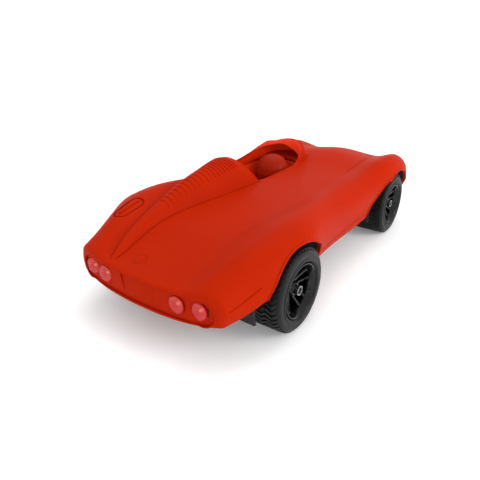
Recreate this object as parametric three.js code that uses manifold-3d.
// A remote-control toy of a one-seat open racing car from the nineteen-fifties, in millimetres.
// +Z is up, the nose points along -Y and the driver sits on the +X side.
// The origin is on the ground, midway between the axles.
import * as THREE from "three";
import { mergeVertices } from "three/addons/utils/BufferGeometryUtils.js";
import Module from "manifold-3d";

const wasm = await Module();
wasm.setup();

// ---------------------------------------------------------------- driving dimensions
const WHEELBASE = 184;
const BODY_WIDTH = 144;
const FRONT_OVERHANG = 66;
const REAR_OVERHANG = 66;
const WHEEL_RADIUS = 27.5;
const REAR_TYRE_WIDTH = 34;
const FRONT_TYRE_WIDTH = 30;
const FRONT_WHEEL_INSET = 6.9; // the front wheels' outer face lies this far inside the body's width
const REAR_WHEEL_OUTSET = 1.5; // and the rear wheels' this far outside it
const RIM_SHARE = 0.66; // rim radius over tyre radius
const RIM_WALL = 2.4;
const NUT_INSET = 3.4; // from the wheel's outer face to the middle of its nut
const SHELL_WALL = 2;
const GAP = 0.3; // between pieces that touch
const RUN = 0.35; // between a shaft and its hole
const ARCH_GAP = 3.9; // from the tyre to the edge of the wheel arch
const TAIL_BOW_RADIUS = 240;
const AXLE_RADIUS = 2;
const BUSH_WALL = 2;
const KINGPIN_RADIUS = 1.6;
const KNUCKLE_RADIUS = 4;
const KINGPIN_TO_TYRE = 6.8; // kingpin axis to the inner face of the front tyre
const STEERING_ARM = 12;
const HORN_ARM = 14;
const LINK_PIN_RADIUS = 1.5;
const TRAY_DROP = 14; // axle height above the underside of the chassis tray
const TRAY_FLOOR = 2.5;
const TRAY_WALL = 2;
const TRAY_DEPTH = 7;
const TRAY_MID_HALF = 33;
const TRAY_FRONT_HALF = 18;
const TRAY_REAR_HALF = 33;
const GEAR_MODULE = 0.8;
const AXLE_GEAR_TEETH = 24;
const PINION_TEETH = 10;
const GEAR_FACE = 5;
const MOTOR_RADIUS = 9;
const MOTOR_LENGTH = 24;
const BATTERY = { x: 46, y: 58, z: 12 };
const DOOR_THICKNESS = 2;
const SWITCH = { x: 4, y: 5, travel: 3, left: 18, behindPack: 17.5 }; // clear of the open battery door
const SCREW_HEAD_RADIUS = 3;
const SCREW_RADIUS = 1.4;
const POST_RADIUS = 4;
const COCKPIT = { x: 30.8, halfWidth: 19.2, rear: 12, length: 71 };
const TUB_DEPTH = 24;
const HELMET_RADIUS = 15;
const LAMP_RADIUS = 5.5;
const LAMP_OFFSETS = [29.4, 43.9];
const PANEL_HALF = { x: 54, z: 7.6 };
const PANEL_RECESS = 1.4;
const PANEL_THICKNESS = 1.6;

const frontY = -WHEELBASE / 2;
const rearY = WHEELBASE / 2;
const noseY = frontY - FRONT_OVERHANG;
const tailY = rearY + REAR_OVERHANG;
const half = BODY_WIDTH / 2;
const axleZ = WHEEL_RADIUS;
const trayZ = axleZ - TRAY_DROP;
const floorTop = trayZ + TRAY_FLOOR;
const archRadius = WHEEL_RADIUS + ARCH_GAP;
const rimRadius = WHEEL_RADIUS * RIM_SHARE;

// ---------------------------------------------------------------- materials
const paint = (color, roughness, metalness = 0) =>
  new THREE.MeshStandardMaterial({ color, roughness, metalness });
const RED = 0xc82f16;
const INNER_RED = 0x9c2210;
const BLACK = 0x17171a;

// ---------------------------------------------------------------- solids
function solid(geometry) {
  const bare = geometry.clone();
  bare.deleteAttribute("normal");
  bare.deleteAttribute("uv");
  const merged = mergeVertices(bare, 1e-4);
  return new wasm.Manifold(
    new wasm.Mesh({
      numProp: 3,
      vertProperties: new Float32Array(merged.attributes.position.array),
      triVerts: new Uint32Array(merged.index.array),
    }),
  );
}

function geometryOf(shape) {
  const mesh = shape.getMesh();
  const geometry = new THREE.BufferGeometry();
  geometry.setAttribute("position", new THREE.BufferAttribute(mesh.vertProperties, 3));
  geometry.setIndex(new THREE.BufferAttribute(mesh.triVerts, 1));
  geometry.computeVertexNormals();
  return geometry;
}

const join = (...solids) => solids.reduce((sum, next) => sum.add(next));
const cut = (base, ...tools) => tools.reduce((rest, tool) => rest.subtract(tool), base);

function block(x0, x1, y0, y1, z0, z1) {
  const box = new THREE.BoxGeometry(x1 - x0, y1 - y0, z1 - z0);
  return solid(box.translate((x0 + x1) / 2, (y0 + y1) / 2, (z0 + z1) / 2));
}

// A round bar from one end to the other along X, Y or Z.
function bar(axis, radius, from, to, centre, segments = 14) {
  const rod = new THREE.CylinderGeometry(radius, radius, to - from, segments);
  if (axis === "x") rod.rotateZ(Math.PI / 2).translate((from + to) / 2, centre[0], centre[1]);
  if (axis === "y") rod.translate(centre[0], (from + to) / 2, centre[1]);
  if (axis === "z") rod.rotateX(Math.PI / 2).translate(centre[0], centre[1], (from + to) / 2);
  return solid(rod);
}

// A plan outline raised from z0 to z1.
function raised(shape, z0, z1, segments = 8) {
  const geometry = new THREE.ExtrudeGeometry(shape, {
    depth: z1 - z0,
    bevelEnabled: false,
    curveSegments: segments,
  });
  return solid(geometry.translate(0, 0, z0));
}

// An outline in X and Z pushed along Y from y0 to y1.
function pushed(shape, y0, y1, segments = 8) {
  const geometry = new THREE.ExtrudeGeometry(shape, {
    depth: y1 - y0,
    bevelEnabled: false,
    curveSegments: segments,
  });
  return solid(geometry.rotateX(Math.PI / 2).translate(0, y1, 0));
}

// An outline in Y and Z pushed along X from x0 to x1.
function pushedSideways(points, x0, x1) {
  const shape = new THREE.Shape(points.map(([y, z]) => new THREE.Vector2(y, z)));
  const geometry = new THREE.ExtrudeGeometry(shape, { depth: x1 - x0, bevelEnabled: false });
  geometry.rotateX(Math.PI / 2).rotateZ(Math.PI / 2);
  return solid(geometry.translate(x0, 0, 0));
}

function slotShape(cx, cy, halfX, halfY) {
  const shape = new THREE.Shape();
  const r = Math.min(halfX, halfY);
  const dx = halfX - r;
  const dy = halfY - r;
  if (dx >= dy) {
    shape.absarc(cx + dx, cy, r, -Math.PI / 2, Math.PI / 2, false);
    shape.absarc(cx - dx, cy, r, Math.PI / 2, (3 * Math.PI) / 2, false);
  } else {
    shape.absarc(cx, cy + dy, r, 0, Math.PI, false);
    shape.absarc(cx, cy - dy, r, Math.PI, 2 * Math.PI, false);
  }
  shape.closePath();
  return shape;
}

function turned(profile, segments = 32) {
  const points = profile.map(([r, h]) => new THREE.Vector2(r, h));
  return new THREE.LatheGeometry(points, segments);
}

// ---------------------------------------------------------------- smooth curves
// A cubic through every (t, value) pair, with the slope at each taken from its neighbours.
function curveThrough(ts, values) {
  const slopes = values.map((v, i) => {
    const a = Math.max(0, i - 1);
    const b = Math.min(values.length - 1, i + 1);
    return (values[b] - values[a]) / (ts[b] - ts[a]);
  });
  return (t) => {
    let i = 0;
    while (i < ts.length - 2 && t > ts[i + 1]) i += 1;
    const h = ts[i + 1] - ts[i];
    const s = (t - ts[i]) / h;
    const s2 = s * s;
    const s3 = s2 * s;
    return (
      (2 * s3 - 3 * s2 + 1) * values[i] +
      (s3 - 2 * s2 + s) * h * slopes[i] +
      (3 * s2 - 2 * s3) * values[i + 1] +
      (s3 - s2) * h * slopes[i + 1]
    );
  };
}

// ---------------------------------------------------------------- body surface
// Stations run from -2 at the nose, through -1 and 1 at the axles, to 2 at the tail.
function stationY(t) {
  if (t < -1) return frontY + (t + 1) * FRONT_OVERHANG;
  if (t > 1) return rearY + (t - 1) * REAR_OVERHANG;
  return (t * WHEELBASE) / 2;
}

// Half a cross-section at each station: lower edge, widest point, shoulder, fender crown and
// valley as (x over half the body's width, z over the wheel's radius), the centre line's height,
// and the height of the lowest point of the end wall.
const SECTIONS = [
  // station, low x z, wide x z, shoulder x z, crown x z, valley x z, deck z, sag z
  [-2, 0.172, 0.87, 0.237, 1.13, 0.218, 1.31, 0.149, 1.42, 0.069, 1.45, 1.45, 0.82],
  [-1.93, 0.431, 0.8, 0.496, 1.1, 0.458, 1.4, 0.344, 1.62, 0.172, 1.68, 1.72, 0.76],
  [-1.83, 0.58, 0.8, 0.672, 1.16, 0.637, 1.56, 0.519, 1.83, 0.305, 1.87, 1.94, 0.78],
  [-1.655, 0.718, 0.87, 0.817, 1.4, 0.779, 1.87, 0.649, 2.16, 0.42, 2.08, 2.17, 0.87],
  [-1.4, 0.794, 1.02, 0.901, 1.68, 0.866, 2.18, 0.733, 2.42, 0.477, 2.26, 2.38, 1.02],
  [-1, 0.817, 1.09, 0.924, 1.88, 0.889, 2.31, 0.771, 2.55, 0.504, 2.38, 2.48, 1.09],
  [-0.8, 0.817, 1.08, 0.908, 1.83, 0.878, 2.27, 0.763, 2.5, 0.496, 2.36, 2.42, 1.08],
  [-0.55, 0.809, 1.03, 0.87, 1.72, 0.84, 2.1, 0.725, 2.33, 0.477, 2.27, 2.3, 1.03],
  [-0.2, 0.809, 1, 0.855, 1.65, 0.821, 2.02, 0.706, 2.24, 0.477, 2.23, 2.22, 1],
  [0.25, 0.809, 1, 0.866, 1.65, 0.832, 2.02, 0.706, 2.28, 0.477, 2.22, 2.19, 1],
  [0.55, 0.84, 1.02, 0.924, 1.72, 0.885, 2.12, 0.756, 2.37, 0.45, 2.18, 2.14, 1.02],
  [0.8, 0.916, 1.15, 1, 1.85, 0.954, 2.22, 0.782, 2.41, 0.382, 2.12, 2.09, 1.15],
  [1, 0.954, 1.3, 1.031, 1.9, 0.985, 2.18, 0.782, 2.36, 0.363, 2.05, 2.02, 1.3],
  [1.22, 0.954, 1.35, 1.008, 1.85, 0.924, 2.15, 0.763, 2.27, 0.374, 1.98, 1.95, 1.3],
  [1.45, 0.947, 1.3, 0.962, 1.6, 0.866, 1.98, 0.718, 2.13, 0.401, 1.86, 1.82, 1.1],
  [1.65, 0.859, 1.06, 0.885, 1.42, 0.821, 1.78, 0.668, 1.93, 0.42, 1.74, 1.7, 0.95],
  [1.85, 0.794, 0.98, 0.824, 1.3, 0.786, 1.6, 0.618, 1.72, 0.439, 1.62, 1.6, 0.85],
  [2.06, 0.771, 0.98, 0.79, 1.2, 0.752, 1.47, 0.611, 1.54, 0.42, 1.53, 1.53, 0.83],
];
const stations = SECTIONS.map((row) => row[0]);
const column = (k) => curveThrough(stations, SECTIONS.map((row) => row[k]));
const ROWS = [1, 3, 5, 7, 9].map((k) => ({ x: column(k), z: column(k + 1) }));
const deckZ = column(11);
const sagZ = column(12);
const STEPS = [2, 3, 2, 4, 2]; // spans between the points of half a section
const SAG_STEPS = 6;

// One closed ring round the body at a station, from the left lower edge over the top to the right.
function bodyRing(t) {
  const y = stationY(t);
  const side = ROWS.map((row) => [row.x(t) * half, row.z(t) * WHEEL_RADIUS]);
  const points = [
    ...side.map(([x, z]) => new THREE.Vector3(x, y, z)),
    new THREE.Vector3(0, y, deckZ(t) * WHEEL_RADIUS),
    ...side.reverse().map(([x, z]) => new THREE.Vector3(-x, y, z)),
  ];
  const curve = new THREE.CatmullRomCurve3(points, false, "centripetal");
  const spans = [...STEPS, ...[...STEPS].reverse()];
  const ring = [];
  spans.forEach((count, span) => {
    for (let k = 0; k < count; k += 1) ring.push(curve.getPoint((span + k / count) / spans.length));
  });
  ring.push(points[points.length - 1].clone());
  return ring;
}

const BODY_TS = [];
for (let i = 0; i < 25; i += 1) {
  const s = (i / 24) * 2 - 1;
  BODY_TS.push(2.04 * Math.sign(s) * Math.abs(s) ** 0.85);
}
BODY_TS[0] = -2;
const RINGS = BODY_TS.map(bodyRing);

// The unit outward normal at each point of the body's rings.
const NORMALS = RINGS.map((ring, i) =>
  ring.map((point, j) => {
    const before = RINGS[Math.max(0, i - 1)][j];
    const after = RINGS[Math.min(RINGS.length - 1, i + 1)][j];
    const down = ring[Math.max(0, j - 1)];
    const up = ring[Math.min(ring.length - 1, j + 1)];
    const lengthwise = after.clone().sub(before);
    return lengthwise.cross(up.clone().sub(down)).normalize();
  }),
);

// A closed skin over rings of points that each run the same way round.
function loft(rings, facings = [1, -1]) {
  const count = rings[0].length;
  const points = rings.flat();
  const triangles = [];
  for (let i = 0; i < rings.length - 1; i += 1) {
    for (let j = 0; j < count; j += 1) {
      const a = i * count + j;
      const c = i * count + ((j + 1) % count);
      triangles.push(a, a + count, c, a + count, c + count, c);
    }
  }
  const cap = (ring, start, facing) => {
    const outline = ring.map((p) => new THREE.Vector2(p.x, p.z));
    for (const [a, b, c] of THREE.ShapeUtils.triangulateShape(outline, [])) {
      const turn = outline[b].clone().sub(outline[a]).cross(outline[c].clone().sub(outline[a]));
      const [p, q] = turn * facing > 0 ? [b, c] : [c, b];
      triangles.push(start + a, start + p, start + q);
    }
  };
  cap(rings[0], 0, facings[0]);
  cap(rings[rings.length - 1], (rings.length - 1) * count, facings[1]);
  const geometry = new THREE.BufferGeometry();
  geometry.setAttribute("position", new THREE.Float32BufferAttribute(points.flatMap((p) => p.toArray()), 3));
  geometry.setIndex(triangles);
  return solid(geometry);
}

// The body as a full solid, grown by an offset (or shrunk by a negative one).
function bodySolid(offset, openBelow = false) {
  const rings = RINGS.map((ring, i) => {
    const top = ring.map((p, j) => p.clone().addScaledVector(NORMALS[i][j], offset));
    const first = top[0];
    const last = top[top.length - 1];
    const lowest = openBelow ? -20 : sagZ(BODY_TS[i]) * WHEEL_RADIUS;
    const under = [];
    for (let k = openBelow ? 0 : 1; k <= SAG_STEPS - (openBelow ? 0 : 1); k += 1) {
      const x = last.x + ((first.x - last.x) * k) / SAG_STEPS;
      const share = openBelow ? 0 : (x / first.x) ** 4;
      under.push(new THREE.Vector3(x, ring[0].y, lowest + (last.z - lowest) * share));
    }
    return [...top, ...under];
  });
  const tailRadius = TAIL_BOW_RADIUS + offset;
  const tailTrim = bar("z", tailRadius, -30, 120, [0, tailY - TAIL_BOW_RADIUS], 120);
  const noseTrim = block(-half - 9, half + 9, noseY - offset, tailY + 9, -30, 120);
  return loft(rings).intersect(tailTrim).intersect(noseTrim);
}

const bodyOuter = bodySolid(0);
const bodySeat = bodySolid(GAP); // what sits on the body keeps this clear
const bodyInner = bodySolid(-SHELL_WALL, true);

// ---------------------------------------------------------------- wheel arches
const far = BODY_WIDTH;
function arches() {
  const rear = bar("x", archRadius, -far, far, [rearY, axleZ], 32);
  const front = bar("x", archRadius, -far, far, [frontY, axleZ], 32);
  const r = WHEEL_RADIUS;
  const behind = pushedSideways(
    [
      [frontY, axleZ],
      [frontY + 0.72 * r, 2.01 * r],
      [frontY + 1.02 * r, 1.89 * r],
      [frontY + 1.58 * r, 1.57 * r],
      [frontY + 1.79 * r, 1.38 * r],
      [frontY + 1.95 * r, 0.4 * r],
      [frontY, 0.4 * r],
    ],
    -far,
    far,
  );
  const ahead = pushedSideways(
    [
      [frontY, axleZ],
      [frontY, 0.4 * r],
      [frontY - 1.5 * r, 0.4 * r],
      [frontY - 1.42 * r, 1.4 * r],
      [frontY - 0.95 * r, 1.72 * r],
    ],
    -far,
    far,
  );
  const all = join(rear, front, behind, ahead);
  const middle = 0.45 * half; // the arches open only the flanks, below the fenders' crowns
  const crown = 0.78 * half;
  const top = 2.02 * WHEEL_RADIUS;
  return all
    .subtract(block(-middle, middle, noseY - 5, tailY + 5, -40, 140))
    .subtract(block(-crown, crown, noseY - 5, tailY + 5, top, 140));
}

// ---------------------------------------------------------------- cockpit
function cockpitShape(inset) {
  const { x, halfWidth, rear, length } = COCKPIT;
  const w = halfWidth - inset;
  const front = rear - length + inset;
  const back = rear - inset;
  const shape = new THREE.Shape();
  shape.moveTo(x - w + 4, back);
  shape.lineTo(x + w - 4, back);
  shape.quadraticCurveTo(x + w, back, x + w, back - 4);
  shape.lineTo(x + w, front + 0.95 * w);
  shape.bezierCurveTo(x + w, front + 0.4 * w, x + 0.55 * w, front, x, front);
  shape.bezierCurveTo(x - 0.55 * w, front, x - w, front + 0.4 * w, x - w, front + 0.95 * w);
  shape.lineTo(x - w, back - 4);
  shape.quadraticCurveTo(x - w, back, x - w + 4, back);
  return shape;
}
const cockpitCut = raised(cockpitShape(0), 0, 120);
const deckAtCockpit = 2.2 * WHEEL_RADIUS;
const tubFloor = deckAtCockpit - TUB_DEPTH;

function cockpitTub() {
  const outer = raised(cockpitShape(GAP), tubFloor - 2, deckAtCockpit - 1.5);
  const inner = raised(cockpitShape(GAP + 1.5), tubFloor, 120);
  return cut(outer, inner).intersect(bodySolid(-0.2));
}

// ---------------------------------------------------------------- lamps and openings in the body
const panelZ = 1.215 * WHEEL_RADIUS;
const lampZ = 1.25 * WHEEL_RADIUS;
const lampX = [-LAMP_OFFSETS[1], -LAMP_OFFSETS[0], LAMP_OFFSETS[0], LAMP_OFFSETS[1]];
const tailFaceY = (x) => tailY - TAIL_BOW_RADIUS + Math.sqrt(TAIL_BOW_RADIUS ** 2 - x * x);
const headlampX = 0.6 * half;
const headlampZ = 1.62 * WHEEL_RADIUS;
const HEADLAMP_RADIUS = 8.5;
const MOUTH = { x: 20, z: 6 };
const mouthZ = 1.16 * WHEEL_RADIUS;

// A slab between two bowed faces, as far from the tail face as the two depths say.
function bowed(shape, depthOut, depthIn) {
  const disc = (depth) =>
    bar("z", TAIL_BOW_RADIUS - depth, -30, 120, [0, tailY - TAIL_BOW_RADIUS], 120);
  const prism = pushed(shape, tailY - 40, tailY + 10, 10);
  return prism.intersect(disc(depthOut)).subtract(disc(depthIn));
}

// Screw posts hang from the skin: two behind the nose, two ahead of the tail.
const POSTS = [
  [-11, frontY - 0.72 * WHEEL_RADIUS],
  [11, frontY - 0.72 * WHEEL_RADIUS],
  [-25, rearY + 0.95 * WHEEL_RADIUS],
  [25, rearY + 0.95 * WHEEL_RADIUS],
];

function mouthShape(inset) {
  const shape = new THREE.Shape();
  shape.absellipse(0, mouthZ, MOUTH.x - inset, MOUTH.z - inset, 0, 2 * Math.PI, false);
  return shape;
}

function bodyShell() {
  let shell = cut(bodyOuter, bodyInner, arches(), cockpitCut);
  shell = shell.subtract(pushed(slotShape(0, panelZ, PANEL_HALF.x, PANEL_HALF.z), tailY - 20, tailY + 5, 10));
  shell = shell.subtract(pushed(mouthShape(0), noseY - 5, noseY + 12, 20));
  for (const side of [-1, 1]) {
    shell = shell.subtract(
      bar("y", HEADLAMP_RADIUS + GAP, noseY - 5, frontY - 12, [side * headlampX, headlampZ], 24),
    );
  }
  const posts = POSTS.map(([x, y]) => {
    const post = bar("z", POST_RADIUS, floorTop + GAP, 120, [x, y]).intersect(bodyOuter);
    return post.subtract(bar("z", SCREW_RADIUS + 0.2, 0, floorTop + 12, [x, y]));
  });
  shell = join(shell, ...posts);
  const pieces = shell.decompose().sort((a, b) => b.volume() - a.volume());
  return pieces[0];
}

function headlampLens(side) {
  const plug = bar("y", HEADLAMP_RADIUS, noseY - 5, frontY - 12, [side * headlampX, headlampZ], 24);
  const cap = plug.intersect(bodyOuter).subtract(bodySolid(-1.4));
  return cap.decompose().sort((a, b) => a.boundingBox().min[1] - b.boundingBox().min[1])[0];
}

function frontGrille() {
  const plate = pushed(mouthShape(GAP + 0.1), noseY + 6, noseY + 8, 20);
  const slots = [-14, -9.5, -5, 5, 9.5, 14].map((x) =>
    pushed(slotShape(x, mouthZ, 1.3, 3.2), noseY, noseY + 12, 3),
  );
  return cut(plate, ...slots);
}

function rearPanel() {
  let panel = bowed(
    slotShape(0, panelZ, PANEL_HALF.x - GAP, PANEL_HALF.z - GAP),
    PANEL_RECESS,
    PANEL_RECESS + PANEL_THICKNESS,
  );
  for (const x of lampX) {
    panel = panel.subtract(bar("y", LAMP_RADIUS + GAP, tailY - 40, tailY + 9, [x, lampZ], 20));
  }
  const plate = new THREE.Shape();
  plate.moveTo(-13.7, panelZ - 4.4);
  plate.lineTo(13.7, panelZ - 4.4);
  plate.lineTo(13.7, panelZ + 6.2);
  plate.lineTo(-13.7, panelZ + 6.2);
  return panel.subtract(bowed(plate, 0, PANEL_RECESS + 0.7));
}

// A domed lens whose axis points along +Y, standing on its own origin.
function tailLens() {
  const profile = [
    [0, -2.6],
    [LAMP_RADIUS, -2.6],
    [LAMP_RADIUS, 0.2],
    [LAMP_RADIUS * 0.9, 1.2],
    [LAMP_RADIUS * 0.6, 2.0],
    [0, 2.4],
  ];
  return turned(profile, 16);
}

// ---------------------------------------------------------------- headrest fairing
const FAIRING = {
  front: 0.45 * WHEEL_RADIUS,
  rake: 0.5 * WHEEL_RADIUS,
  tip: tailY - 4,
};
// The top's height, half the width and the centre's place, over the wheel's radius, at each
// share of the way from the front face to the tail.
const fairingTop = curveThrough(
  [0, 0.1, 0.38, 0.58, 0.7, 0.81, 0.89, 1],
  [2.84, 2.88, 2.68, 2.4, 2.2, 2.02, 1.86, 1.56],
);
const fairingHalf = curveThrough([0, 0.14, 0.35, 0.57, 0.78, 1], [0.78, 0.76, 0.6, 0.4, 0.27, 0.14]);
const fairingCentre = curveThrough([0, 0.35, 0.57, 0.78, 1], [1.2, 1.26, 1.25, 1.18, 0.95]);
function fairingSection(s, inset) {
  return {
    top: fairingTop(s) * WHEEL_RADIUS - inset,
    halfWidth: Math.max(0.8, fairingHalf(s) * WHEEL_RADIUS - inset),
    centre: fairingCentre(s) * WHEEL_RADIUS,
  };
}
function fairingLoft(inset) {
  const rings = [];
  const start = inset > 0 ? 0.03 : 0;
  const end = inset > 0 ? 0.86 : 1;
  for (let i = 0; i <= 11; i += 1) {
    const s = start + ((end - start) * i) / 11;
    const { top, halfWidth, centre } = fairingSection(s, inset);
    const y = FAIRING.front + s * (FAIRING.tip - FAIRING.front);
    const lean = FAIRING.rake * Math.max(0, 1 - s / 0.3);
    const base = 1.3 * WHEEL_RADIUS - (inset > 0 ? 10 : 0);
    const ring = [];
    for (let k = 0; k <= 10; k += 1) {
      const angle = (Math.PI * k) / 10;
      const rise = Math.sin(angle) ** 0.75;
      const z = base + (top - base) * rise;
      const shear = lean * Math.max(0, (z - deckAtCockpit) / (0.68 * WHEEL_RADIUS));
      ring.push(new THREE.Vector3(centre + halfWidth * Math.cos(angle), y + shear, z));
    }
    rings.push(ring);
  }
  return loft(rings);
}
function headrestFairing() {
  const hollow = fairingLoft(2);
  const pieces = cut(fairingLoft(0), bodySeat, hollow).decompose();
  return pieces.sort((a, b) => b.volume() - a.volume())[0];
}

// ---------------------------------------------------------------- windscreen
// Its rim stands round the front of the cockpit and its foot lies ahead on the bonnet; both are
// given over the wheel's radius, from the centre-line end round to the driver's outer side, where
// a low wall runs on to the headrest.
const SCREEN_WALL = 1.8;
const SCREEN_RIM = [
  [0.5, -1.62, 2.2],
  [0.52, -1.93, 2.45],
  [0.82, -2.07, 2.69],
  [1.15, -2, 2.82],
  [1.44, -1.68, 2.84],
  [1.64, -1.25, 2.7],
  [1.78, -0.85, 2.55],
  [1.88, -0.3, 2.42],
  [1.9, 0.2, 2.33],
];
const SCREEN_FOOT = [
  [0.36, -1.62, 2.1],
  [0.34, -2.25, 2.15],
  [0.58, -2.8, 2.25],
  [1.1, -3.05, 2.3],
  [1.64, -2.75, 2.25],
  [1.93, -2, 2.15],
  [2.02, -0.85, 2],
  [2.06, -0.3, 1.95],
  [2.06, 0.2, 1.95],
];
const pathOf = (rows) =>
  new THREE.CatmullRomCurve3(
    rows.map((row) => new THREE.Vector3(...row).multiplyScalar(WHEEL_RADIUS)),
    false,
    "centripetal",
  );
function windscreen() {
  const rimPath = pathOf(SCREEN_RIM);
  const footPath = pathOf(SCREEN_FOOT);
  const around = 20;
  const upward = 5;
  const skin = (u, v) => {
    const rim = rimPath.getPoint(u);
    const foot = footPath.getPoint(u);
    const brow = rim.clone().lerp(foot, 0.4);
    brow.z = rim.z + 0.26 * WHEEL_RADIUS * Math.sin(Math.PI * u);
    return foot
      .multiplyScalar((1 - v) ** 2)
      .addScaledVector(brow, 2 * v * (1 - v))
      .addScaledVector(rim, v * v);
  };
  const step = 1e-3;
  const inward = (u, v) => {
    const along = skin(Math.min(1, u + step), v).sub(skin(Math.max(0, u - step), v));
    const up = skin(u, Math.min(1, v + step)).sub(skin(u, Math.max(0, v - step)));
    return up.cross(along).normalize();
  };
  const rings = [];
  for (let i = 0; i <= around; i += 1) {
    const u = i / around;
    const outside = [];
    const inside = [];
    for (let k = 0; k <= upward; k += 1) {
      const v = k / upward;
      const point = skin(u, v);
      outside.push(point);
      inside.unshift(point.clone().addScaledVector(inward(u, v), SCREEN_WALL));
    }
    rings.push([...outside, ...inside]);
  }
  const wall = loft(rings, [-1, -1]);
  const opening = raised(cockpitShape(-GAP), 0, deckAtCockpit + 1);
  const pieces = cut(wall, bodySeat, opening).decompose();
  return pieces.sort((a, b) => b.volume() - a.volume())[0];
}

// A thin pad on the body's skin, of a given plan outline.
function skinPad(shape, thickness) {
  const prism = raised(shape, 1.34 * WHEEL_RADIUS, 110, 10);
  return prism.intersect(bodySolid(GAP + thickness)).subtract(bodySeat);
}

// ---------------------------------------------------------------- wheels
const FRONT_OUT = half - FRONT_WHEEL_INSET;
const frontWheelX = FRONT_OUT - FRONT_TYRE_WIDTH / 2;
const REAR_OUT = half + REAR_WHEEL_OUTSET;
const rearWheelX = REAR_OUT - REAR_TYRE_WIDTH / 2;
const kingpinX = FRONT_OUT - FRONT_TYRE_WIDTH - KINGPIN_TO_TYRE;

// A wheel turns about X; its outer face looks along +X.
function tyre(width) {
  const w = width / 2;
  const r = WHEEL_RADIUS;
  const inner = rimRadius + GAP;
  const profile = [
    [inner, -w + 1.5],
    [inner + 2.5, -w],
    [r - 3, -w],
    [r - 0.8, -w + 1.6],
    [r, -w + 4],
    [r, w - 4],
    [r - 0.8, w - 1.6],
    [r - 3, w],
    [inner + 2.5, w],
    [inner, w - 1.5],
    [inner, -w + 1.5],
  ];
  return turned(profile, 24).rotateZ(-Math.PI / 2);
}

function rim(width, boreRadius) {
  const w = width / 2 - 1.5;
  const outer = rimRadius;
  const inner = outer - RIM_WALL;
  const barrel = solid(
    turned([[inner, -w], [outer, -w], [outer, w], [inner, w], [inner, -w]], 20).rotateZ(-Math.PI / 2),
  );
  const spokes = [];
  for (let i = 0; i < 5; i += 1) {
    const shape = new THREE.Shape();
    shape.moveTo(-2.6, 3);
    shape.lineTo(2.6, 3);
    shape.lineTo(1.9, inner + 0.8);
    shape.lineTo(-1.9, inner + 0.8);
    const spoke = new THREE.ExtrudeGeometry(shape, { depth: 3, bevelEnabled: false });
    spoke.rotateZ((2 * Math.PI * i) / 5).rotateY(Math.PI / 2);
    spokes.push(solid(spoke.translate(w - 7, 0, 0)));
  }
  const hub = bar("x", 5.5, -w + 2, w - 3.5, [0, 0], 14);
  return join(barrel, hub, ...spokes).subtract(bar("x", boreRadius, -far, far, [0, 0], 14));
}

function wheelNut(boreRadius) {
  const nut = new THREE.CylinderGeometry(3.4, 3.4, 2.4, 6).rotateZ(Math.PI / 2);
  return solid(nut).subtract(bar("x", boreRadius, -9, 9, [0, 0], 16));
}

// ---------------------------------------------------------------- gears
function gear(teeth, boreRadius, phase) {
  const pitch = (GEAR_MODULE * teeth) / 2;
  const tip = pitch + 0.75 * GEAR_MODULE;
  const root = pitch - 1.05 * GEAR_MODULE;
  const shape = new THREE.Shape();
  for (let i = 0; i < teeth; i += 1) {
    const step = (2 * Math.PI) / teeth;
    const at = (share, radius) => {
      const angle = (i + share) * step + phase;
      return [radius * Math.cos(angle), radius * Math.sin(angle)];
    };
    const corners = [at(-0.27, root), at(-0.1, tip), at(0.1, tip), at(0.27, root)];
    corners.forEach(([x, y], k) => (i + k === 0 ? shape.moveTo(x, y) : shape.lineTo(x, y)));
  }
  shape.closePath();
  const blank = new THREE.ExtrudeGeometry(shape, { depth: GEAR_FACE, bevelEnabled: false });
  blank.rotateX(Math.PI / 2).rotateZ(Math.PI / 2);
  return solid(blank.translate(-GEAR_FACE / 2, 0, 0)).subtract(bar("x", boreRadius, -9, 9, [0, 0], 16));
}

// ---------------------------------------------------------------- chassis tray and running gear
const GEAR_X = 6;
const gearSpacing = (GEAR_MODULE * (AXLE_GEAR_TEETH + PINION_TEETH)) / 2;
const motorY = rearY - gearSpacing;
const bushX = TRAY_REAR_HALF - 1;
const armTop = trayZ + 3;
const bridgeZ = axleZ + 9;
const linkY = frontY + STEERING_ARM;
const servoY = linkY + HORN_ARM;
const rodZ = armTop + 5.6;

function trayShape(inset) {
  const shape = new THREE.Shape();
  const frontEnd = frontY - 0.98 * WHEEL_RADIUS;
  const rearEnd = rearY + 1.2 * WHEEL_RADIUS;
  const waist = frontY + 1.75 * WHEEL_RADIUS;
  const right = [
    [TRAY_FRONT_HALF - 6, frontEnd],
    [TRAY_FRONT_HALF, frontEnd + 6],
    [TRAY_FRONT_HALF, waist],
    [TRAY_MID_HALF, waist + 10],
    [TRAY_MID_HALF, rearY - 30],
    [TRAY_REAR_HALF, rearY - 22],
    [TRAY_REAR_HALF, rearEnd - 6],
    [TRAY_REAR_HALF - 6, rearEnd],
  ];
  const outline = [...right, ...right.map(([x, y]) => [-x, y]).reverse()];
  outline.forEach(([x, y], k) => {
    const px = x - Math.sign(x) * inset;
    const py = y < 0 ? y + (y < frontEnd + 1 ? inset : 0) : y - (y > rearEnd - 1 ? inset : 0);
    if (k === 0) shape.moveTo(px, py);
    else shape.lineTo(px, py);
  });
  shape.closePath();
  return shape;
}

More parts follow.
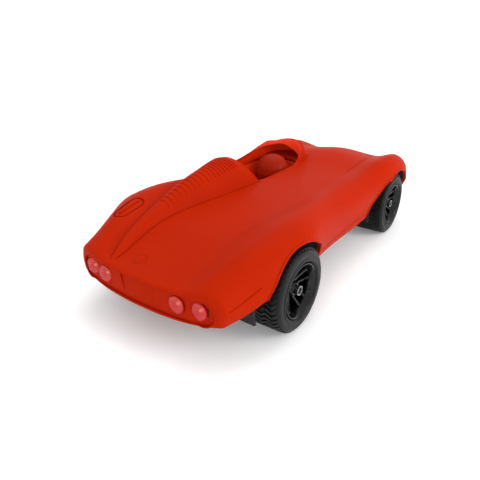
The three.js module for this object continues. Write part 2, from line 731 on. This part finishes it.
function chassisTray() {
  let tray = raised(trayShape(0), trayZ, trayZ + TRAY_DEPTH);
  tray = tray.subtract(raised(trayShape(TRAY_WALL), floorTop, trayZ + 40));
  for (const side of [-1, 1]) {
    const tipX = side * (kingpinX + KNUCKLE_RADIUS);
    const rootX = side * (TRAY_FRONT_HALF - 4);
    const arm = block(Math.min(tipX, rootX), Math.max(tipX, rootX), frontY - 5, frontY + 5, trayZ, armTop);
    tray = tray.add(arm);
    tray = tray.subtract(bar("z", KINGPIN_RADIUS + RUN, 0, armTop + 9, [side * kingpinX, frontY]));
    const cheek = block(
      Math.min(side * (bushX - 2), side * (bushX + 1)),
      Math.max(side * (bushX - 2), side * (bushX + 1)),
      rearY - 8,
      rearY + 8,
      trayZ + 1,
      axleZ + 7,
    );
    tray = tray.add(cheek);
    const hole = AXLE_RADIUS + RUN + BUSH_WALL + GAP;
    tray = tray.subtract(bar("x", hole, Math.min(0, side * 70), Math.max(0, side * 70), [rearY, axleZ]));
    const railIn = BATTERY.x / 2 + 3.4;
    const railOut = railIn + 2;
    const rail = block(
      Math.min(side * railIn, side * railOut),
      Math.max(side * railIn, side * railOut),
      -BATTERY.y / 2 - 3,
      BATTERY.y / 2 + 3,
      trayZ - DOOR_THICKNESS - 2,
      trayZ + 1,
    );
    const lip = block(
      Math.min(side * (railIn - 2.4), side * railOut),
      Math.max(side * (railIn - 2.4), side * railOut),
      -BATTERY.y / 2 - 3,
      BATTERY.y / 2 + 3,
      trayZ - DOOR_THICKNESS - 2,
      trayZ - DOOR_THICKNESS - 2 * GAP,
    );
    tray = join(tray, rail, lip);
  }
  tray = tray.subtract(
    block(-BATTERY.x / 2 - 0.5, BATTERY.x / 2 + 0.5, -BATTERY.y / 2 + 2, BATTERY.y / 2 - 2, 0, floorTop + 1),
  );
  const slotHalfY = (SWITCH.y + SWITCH.travel) / 2 + GAP;
  const slot = slotShapeBox(switchX, switchY + SWITCH.travel / 2, SWITCH.x / 2 + GAP, slotHalfY);
  tray = tray.subtract(raised(slot, 0, floorTop + 1));
  for (const [x, y] of POSTS) tray = tray.subtract(bar("z", SCREW_RADIUS + 0.4, 0, 40, [x, y], 16));
  return tray;
}

function slotShapeBox(cx, cy, hx, hy) {
  const shape = new THREE.Shape();
  shape.moveTo(cx - hx, cy - hy);
  shape.lineTo(cx + hx, cy - hy);
  shape.lineTo(cx + hx, cy + hy);
  shape.lineTo(cx - hx, cy + hy);
  return shape;
}

const switchX = -SWITCH.left;
const switchY = BATTERY.y / 2 + SWITCH.behindPack;

function frontBridge() {
  const beam = block(-kingpinX - 4, kingpinX + 4, frontY - 5, frontY + 5, bridgeZ, bridgeZ + 3);
  const legs = [-1, 1].map((side) => {
    const x = side * (TRAY_FRONT_HALF - TRAY_WALL - 5.5);
    return block(x - 3, x + 3, frontY - 5, frontY + 5, floorTop + GAP, bridgeZ + 1);
  });
  const holes = [-1, 1].map((side) =>
    bar("z", KINGPIN_RADIUS + RUN, bridgeZ - 5, bridgeZ + 9, [side * kingpinX, frontY]),
  );
  return cut(join(beam, ...legs), ...holes);
}

// One steering knuckle about its kingpin, at the origin, with its stub axle along +X.
function knuckle(side) {
  const low = armTop + GAP;
  const high = bridgeZ - GAP;
  const post = bar("z", KNUCKLE_RADIUS, low, high, [0, 0], 16);
  const pin = bar("z", KINGPIN_RADIUS, trayZ + 0.5, bridgeZ + 2.8, [0, 0], 16);
  const reach = FRONT_OUT - kingpinX - 4.2;
  const stub = bar("x", AXLE_RADIUS, Math.min(0, side * reach), Math.max(0, side * reach), [0, axleZ], 16);
  const arm = block(-2, 2, 0, STEERING_ARM + 2.5, low, low + 2.5);
  const linkPin = bar("z", LINK_PIN_RADIUS, low + 1, rodZ + 2.6, [0, STEERING_ARM], 14);
  return join(post, pin, stub, arm, linkPin);
}

function tieRod() {
  let rod = block(-kingpinX - 3.4, kingpinX + 3.4, -4, 4, rodZ, rodZ + 2.3);
  for (const x of [-kingpinX, 0, kingpinX]) {
    rod = rod.subtract(raised(slotShape(x, 0, LINK_PIN_RADIUS + RUN, LINK_PIN_RADIUS + RUN + 0.7), 0, 60, 6));
  }
  return rod;
}

const hornZ = rodZ + 3;
function servoHorn() {
  const lever = raised(slotShape(0, -HORN_ARM / 2, 3, HORN_ARM / 2 + 3), hornZ, hornZ + 2, 6);
  const shaft = bar("z", 2, hornZ - 3, hornZ + 1, [0, 0], 16);
  const pin = bar("z", LINK_PIN_RADIUS, rodZ + 0.2, hornZ + 1, [0, -HORN_ARM], 14);
  return join(lever, shaft, pin);
}

function servo() {
  const body = block(-10, 10, -5, 21, floorTop + GAP, hornZ - GAP);
  return body.subtract(bar("z", 2 + RUN, hornZ - 4, 60, [0, 0]));
}

function gearbox() {
  const back = 13;
  const front = gearSpacing + 8;
  const top = axleZ + 12;
  const inner = GEAR_FACE / 2 + 1;
  const walls = [-1, 1].map((side) => {
    const a = side * inner;
    const b = side * (inner + 2);
    const left = GEAR_X + Math.max(a, b);
    return block(GEAR_X + Math.min(a, b), left, rearY - front, rearY + back, floorTop + GAP, top);
  });
  const outside = inner + 2;
  const behind = rearY + back;
  const rearWall = block(GEAR_X - outside, GEAR_X + outside, behind - 2, behind, floorTop + GAP, top);
  const roof = block(GEAR_X - outside, GEAR_X + outside, rearY - front, behind, top - 1.5, top);
  return cut(
    join(...walls, rearWall, roof),
    bar("x", AXLE_RADIUS + RUN, -40, 40, [rearY, axleZ]),
    bar("x", 1.2 + RUN, -40, 40, [motorY, axleZ]),
  );
}

const motorFace = GEAR_X - GEAR_FACE / 2 - 1 - 2 - GAP;
function motor() {
  const can = bar("x", MOTOR_RADIUS, motorFace - MOTOR_LENGTH, motorFace, [motorY, axleZ], 24);
  const flat = block(-40, 40, motorY - 20, motorY + 20, axleZ + 7.2, axleZ + 20);
  return cut(can, flat, bar("x", 1.2 + RUN, motorFace - 4, motorFace + 9, [motorY, axleZ]));
}

function pinion() {
  const phase = Math.PI / PINION_TEETH; // a gap faces the axle gear
  const wheel = gear(PINION_TEETH, 0.2, phase);
  const shaft = bar("x", 1.2, motorFace - 3 - GEAR_X, GEAR_FACE / 2 + 3, [0, 0], 16);
  return wheel.add(shaft);
}

function axleShaft() {
  const reach = REAR_OUT - 5;
  return bar("x", AXLE_RADIUS, -reach, reach, [0, 0], 16);
}

function bush(side) {
  const ring = bar("x", AXLE_RADIUS + RUN + BUSH_WALL, bushX - 2.6, bushX + 2.4, [0, 0], 20);
  const bored = ring.subtract(bar("x", AXLE_RADIUS + RUN, 0, 90, [0, 0], 20));
  return side > 0 ? bored : bored.mirror([1, 0, 0]);
}

// ---------------------------------------------------------------- driver
const driver = { x: COCKPIT.x + 0.6, y: COCKPIT.rear - 49, head: deckAtCockpit - 5.2 };

function driverHelmet() {
  const dome = solid(new THREE.SphereGeometry(HELMET_RADIUS, 20, 12).rotateX(Math.PI / 2));
  const inside = solid(new THREE.SphereGeometry(HELMET_RADIUS - 2.5, 14, 9).rotateX(Math.PI / 2));
  const face = block(-8, 8, -30, -4, -30, 4.5);
  const neck = block(-20, 20, -30, 30, -30, -8.5);
  return cut(dome, inside, face, neck);
}

function driverHead() {
  const skull = solid(new THREE.SphereGeometry(HELMET_RADIUS - 3.4, 14, 9).rotateX(Math.PI / 2));
  const neck = bar("z", 5, -HELMET_RADIUS - 2.5, -5, [0, 1], 14);
  return skull.add(neck);
}

// The bust stands on the tub floor, with its origin there; a hollow round the neck takes the helmet.
function driverTorso(headHeight) {
  const chest = solid(new THREE.SphereGeometry(1, 16, 12).rotateX(Math.PI / 2).scale(15, 8.5, 9));
  const arms = [-1, 1].map((side) => {
    const path = new THREE.CatmullRomCurve3([
      new THREE.Vector3(side * 11, 0, 5),
      new THREE.Vector3(side * 12.5, -7, 2),
      new THREE.Vector3(side * 8, -12.5, 4),
    ]);
    const section = new THREE.Shape();
    section.absarc(0, 0, 3, 0, 2 * Math.PI, false);
    return solid(new THREE.ExtrudeGeometry(section, { steps: 6, curveSegments: 4, extrudePath: path }));
  });
  const bust = join(chest.translate([0, 0, 3]), ...arms);
  const collar = solid(new THREE.SphereGeometry(HELMET_RADIUS + GAP, 20, 12).rotateX(Math.PI / 2));
  const below = block(-30, 30, -30, 30, -30, GAP);
  const neck = bar("z", 5.4, -2 + headHeight - HELMET_RADIUS - 3, 40, [0, 1], 14);
  return cut(bust, collar.translate([0, 0, headHeight]), below, neck);
}

function steeringWheel() {
  const ring = solid(new THREE.TorusGeometry(7, 0.9, 6, 20).rotateX(Math.PI / 2));
  const bars = [0, 1, 2].map((i) => {
    const spoke = new THREE.BoxGeometry(1.6, 1.2, 7).translate(0, 0, 3.5);
    return solid(spoke.rotateY((2 * Math.PI * i) / 3));
  });
  const column = bar("y", 1.4, -2.2, 0.5, [0, 0], 10);
  return join(ring, column, ...bars);
}

// ---------------------------------------------------------------- assembly
const car = new THREE.Group();
car.name = "toy_car";

function place(parent, name, shape, material, position = [0, 0, 0], rotation = [0, 0, 0]) {
  const geometry = shape.isBufferGeometry ? shape : geometryOf(shape);
  const mesh = new THREE.Mesh(geometry, material);
  mesh.name = name;
  mesh.position.set(...position);
  mesh.rotation.set(...rotation);
  parent.add(mesh);
  return mesh;
}

place(car, "body_shell", bodyShell(), paint(RED, 0.38));
place(car, "rear_panel", rearPanel(), paint(RED, 0.4));
place(car, "headrest_fairing", headrestFairing(), paint(RED, 0.38));
place(car, "windscreen", windscreen(), paint(RED, 0.38));
const capShape = slotShape(0.725 * half, rearY + 0.78 * WHEEL_RADIUS, 4.6, 11);
place(car, "fuel_cap", skinPad(capShape, 1.6), paint(RED, 0.4));
const badgeShape = slotShape(0.15 * half, rearY + 1.84 * WHEEL_RADIUS, 6, 6);
place(car, "rear_badge", skinPad(badgeShape, 1), paint(0xd8d8d8, 0.25, 0.8));
place(car, "cockpit_tub", cockpitTub(), paint(INNER_RED, 0.6));
place(car, "front_grille", frontGrille(), paint(BLACK, 0.35));
for (const side of [-1, 1]) {
  const label = side > 0 ? "left" : "right";
  place(car, `headlamp_lens_${label}`, headlampLens(side), paint(0xeef2f4, 0.08));
}
lampX.forEach((x, i) => {
  const face = tailFaceY(x) - PANEL_RECESS;
  place(car, `tail_lens_${i + 1}`, tailLens(), paint(0xd01f18, 0.1), [x, face, lampZ]);
});
const boardOut = PANEL_RECESS + PANEL_THICKNESS + 1.6 + GAP;
place(
  car,
  "rear_light_board",
  bowed(slotShape(0, panelZ, PANEL_HALF.x - 5, PANEL_HALF.z - 2.2), boardOut, boardOut + 1.6),
  paint(0x1f6b3a, 0.5),
);

// Chassis and what it carries.
place(car, "chassis_tray", chassisTray(), paint(BLACK, 0.55));
place(car, "front_bridge", frontBridge(), paint(BLACK, 0.55));
place(car, "steering_servo", servo(), paint(0x202225, 0.5), [0, servoY, 0]);
place(car, "gearbox_housing", gearbox(), paint(0x2a2a2e, 0.5));
place(car, "drive_motor", motor(), paint(0xb8bcc0, 0.3, 0.9));
for (const side of [-1, 1]) {
  const label = side > 0 ? "left" : "right";
  place(car, `rear_bush_${label}`, bush(side), paint(0xb98a3c, 0.35, 0.9), [0, rearY, axleZ]);
}
const packZ = floorTop + GAP;
place(
  car,
  "battery_pack",
  block(-BATTERY.x / 2, BATTERY.x / 2, -BATTERY.y / 2, BATTERY.y / 2, packZ, packZ + BATTERY.z),
  paint(0x2455a4, 0.4),
);
const boardZ = packZ + BATTERY.z + GAP;
const chips = [
  [-14, -15, 5, 4],
  [12, -10, 4, 4],
  [0, 12, 6, 5],
].map(([x, y, hx, hy]) => block(x - hx, x + hx, y - hy, y + hy, boardZ + 1, boardZ + 3));
const board = join(block(-22, 22, -24, 24, boardZ, boardZ + 1.6), ...chips);
place(car, "control_board", board, paint(0x1f6b3a, 0.5));
POSTS.forEach(([x, y], i) => {
  const head = bar("z", SCREW_HEAD_RADIUS, -2, -GAP, [0, 0], 16);
  const shank = bar("z", SCREW_RADIUS, -1, TRAY_FLOOR + 9, [0, 0], 12);
  const screw = join(head, shank).subtract(block(-2.2, 2.2, -0.4, 0.4, -3, -1.3));
  place(car, `body_screw_${i + 1}`, screw, paint(0x8d9196, 0.35, 0.9), [x, y, trayZ]);
});
const doorHalf = { x: BATTERY.x / 2 + 3, y: BATTERY.y / 2 + 1 };
const door = join(
  block(-doorHalf.x, doorHalf.x, -doorHalf.y, doorHalf.y, -DOOR_THICKNESS - GAP, -GAP),
  block(-8, 8, BATTERY.y / 2 - 7, BATTERY.y / 2 - 5, -DOOR_THICKNESS - 1.5, -1),
);
place(car, "battery_door", door, paint(BLACK, 0.55), [0, 0, trayZ]);
const knobHalf = { x: SWITCH.x / 2, y: SWITCH.y / 2 };
const plateHalf = { x: knobHalf.x + 1.5, y: knobHalf.y + 1 };
const knob = join(
  block(-knobHalf.x, knobHalf.x, -knobHalf.y, knobHalf.y, -1.2, TRAY_FLOOR + 1),
  block(-plateHalf.x, plateHalf.x, -plateHalf.y, plateHalf.y, TRAY_FLOOR + GAP, TRAY_FLOOR + 2),
);
place(car, "power_switch", knob, paint(0x111113, 0.5), [switchX, switchY, trayZ]);

// Driver and controls.
const seat = new THREE.Group();
seat.position.set(driver.x, driver.y, driver.head);
car.add(seat);
place(seat, "driver_helmet", driverHelmet(), paint(RED, 0.3));
place(seat, "driver_head", driverHead(), paint(INNER_RED, 0.5));
const headHeight = driver.head - tubFloor;
place(seat, "driver_torso", driverTorso(headHeight), paint(INNER_RED, 0.6), [0, 0, -headHeight]);
place(
  car,
  "steering_wheel",
  steeringWheel(),
  paint(BLACK, 0.5),
  [driver.x, driver.y - 16.4, tubFloor + 9.4],
  [-0.35, 0, 0],
);

// A wheel on its axle: rim, tyre and the nut that holds them, all turned to face outwards.
function placeWheel(parent, end, side, width, middle, nutMiddle, height) {
  const label = side > 0 ? "left" : "right";
  const turn = [0, 0, side > 0 ? 0 : Math.PI];
  const bore = AXLE_RADIUS + GAP;
  const at = [side * middle, 0, height];
  place(parent, `${end}_rim_${label}`, rim(width, bore), paint(0x0d0d0f, 0.15), at, turn);
  place(parent, `${end}_tyre_${label}`, tyre(width), paint(0x1a1a1c, 0.7), at, turn);
  const nutAt = [side * nutMiddle, 0, height];
  place(parent, `${end}_nut_${label}`, wheelNut(bore), paint(0x2a2a2c, 0.3, 0.8), nutAt, turn);
}

// Rear axle with its wheels, gear and nuts.
const rearAxle = new THREE.Group();
rearAxle.position.set(0, rearY, axleZ);
car.add(rearAxle);
place(rearAxle, "rear_axle_shaft", axleShaft(), paint(0xb9bdc2, 0.25, 1));
const axleGear = gear(AXLE_GEAR_TEETH, AXLE_RADIUS + GAP, Math.PI);
place(rearAxle, "axle_gear", axleGear, paint(0xe9e6dc, 0.5), [GEAR_X, 0, 0]);
for (const side of [-1, 1]) {
  placeWheel(rearAxle, "rear", side, REAR_TYRE_WIDTH, rearWheelX, REAR_OUT - NUT_INSET, 0);
}
place(car, "motor_pinion", pinion(), paint(0xc9a24a, 0.35, 0.9), [GEAR_X, motorY, axleZ]);

// Front knuckles, wheels and the link that steers them.
for (const side of [-1, 1]) {
  const corner = new THREE.Group();
  corner.position.set(side * kingpinX, frontY, 0);
  car.add(corner);
  place(corner, `knuckle_${side > 0 ? "left" : "right"}`, knuckle(side), paint(0x26262a, 0.5));
  const middle = frontWheelX - kingpinX;
  const nutMiddle = FRONT_OUT - NUT_INSET - kingpinX;
  placeWheel(corner, "front", side, FRONT_TYRE_WIDTH, middle, nutMiddle, axleZ);
}
place(car, "tie_rod", tieRod(), paint(0x303034, 0.5), [0, linkY, 0]);
place(car, "servo_horn", servoHorn(), paint(0xe9e6dc, 0.5), [0, servoY, 0]);

export default car;
